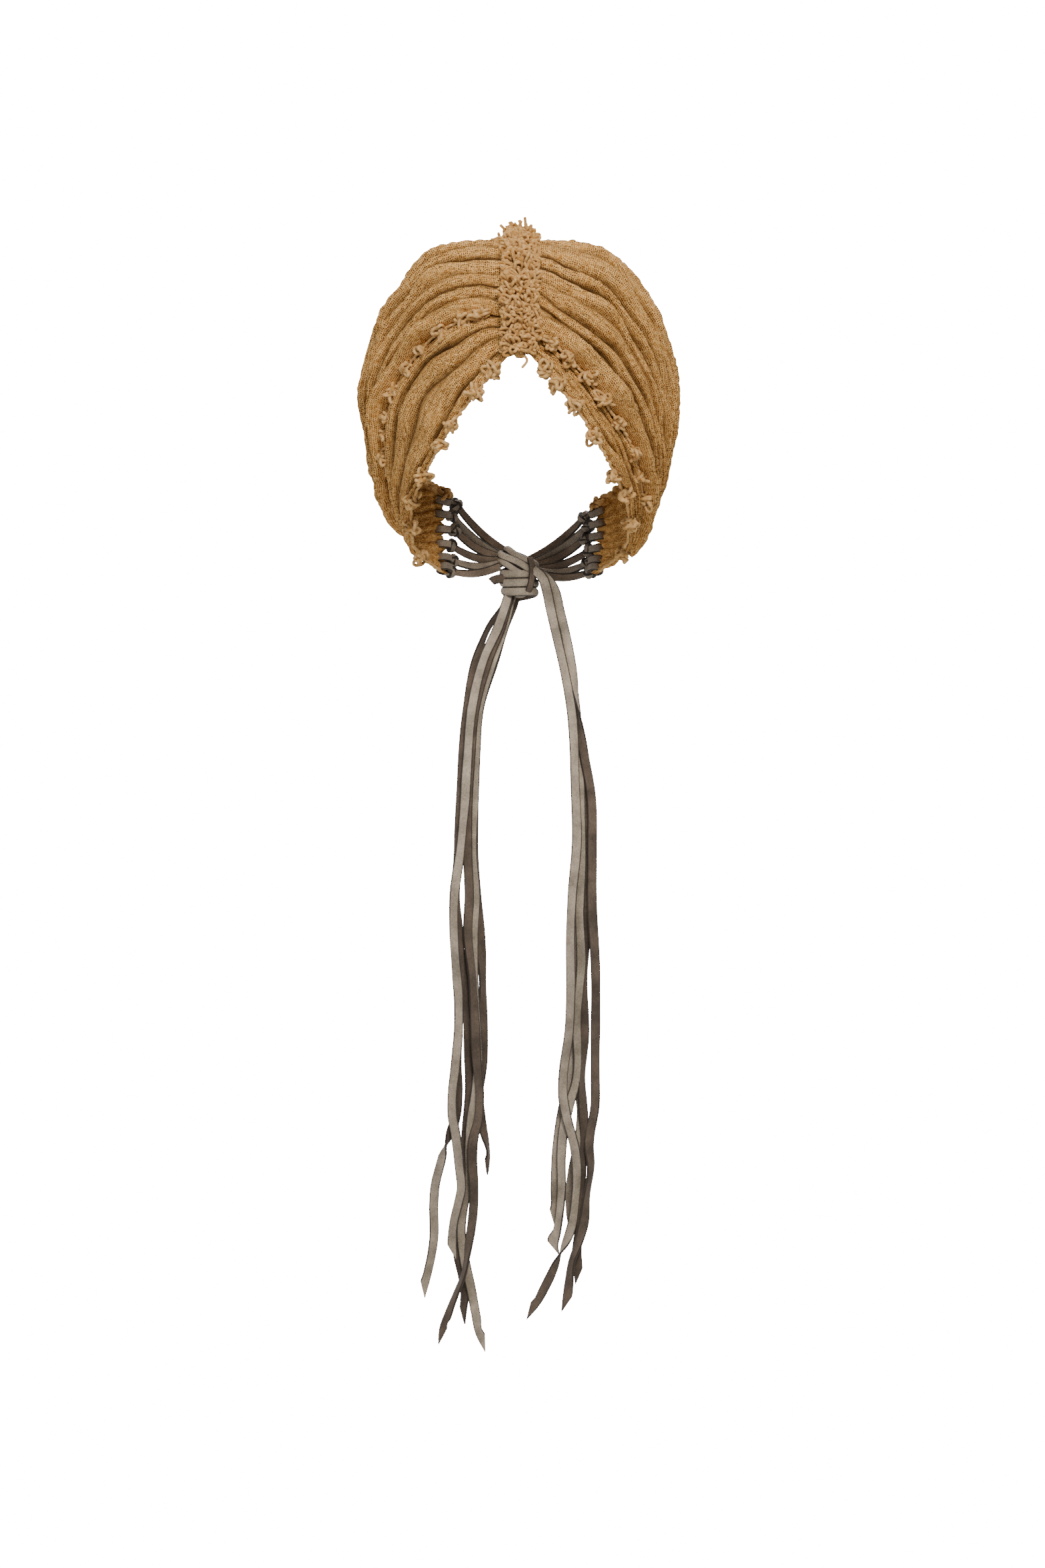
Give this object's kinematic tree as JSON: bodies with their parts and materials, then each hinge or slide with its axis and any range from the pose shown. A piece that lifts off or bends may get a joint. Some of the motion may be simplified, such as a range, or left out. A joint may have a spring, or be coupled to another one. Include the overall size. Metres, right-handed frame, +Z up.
{
  "type": "turban",
  "caption": "Pleated gauze turban gathered at the front by a looped band, tied behind the neck with leather laces that hang in two long bundles",
  "frame": {"origin": "middle of the wearer's head at brow height, inside the turban", "axes": "+Z up through the crown, -Y out through the looped band at the front, +X to the side that is at the viewer's right from the front"},
  "size_m": [0.2082, 0.1891, 0.7335],
  "materials": {
    "gauze": "loosely woven ochre cotton gauze",
    "pile": "looped and tufted ochre cotton yarn",
    "lace_leather": "taupe leather, smooth on the grain side and napped on the flesh side"
  },
  "bodies": {
    "root": {"under_wrap": "gauze", "over_wrap": "gauze", "looped_band": "pile", "rim_trim_left": "pile", "rim_trim_right": "pile", "overlap_trim_left": "pile", "overlap_trim_right": "pile", "lace_left_1": "lace_leather", "lace_left_2": "lace_leather", "lace_left_3": "lace_leather", "lace_left_4": "lace_leather", "lace_left_5": "lace_leather", "lace_left_6": "lace_leather", "lace_right_1": "lace_leather", "lace_right_2": "lace_leather", "lace_right_3": "lace_leather", "lace_right_4": "lace_leather", "lace_right_5": "lace_leather", "lace_right_6": "lace_leather", "lace_knot": "lace_leather", "tail_left_1": "lace_leather", "tail_left_2": "lace_leather", "tail_left_3": "lace_leather", "tail_left_4": "lace_leather", "tail_left_5": "lace_leather", "tail_left_6": "lace_leather", "tail_right_1": "lace_leather", "tail_right_2": "lace_leather", "tail_right_3": "lace_leather", "tail_right_4": "lace_leather", "tail_right_5": "lace_leather", "tail_right_6": "lace_leather"}
  },
  "joints": []
}
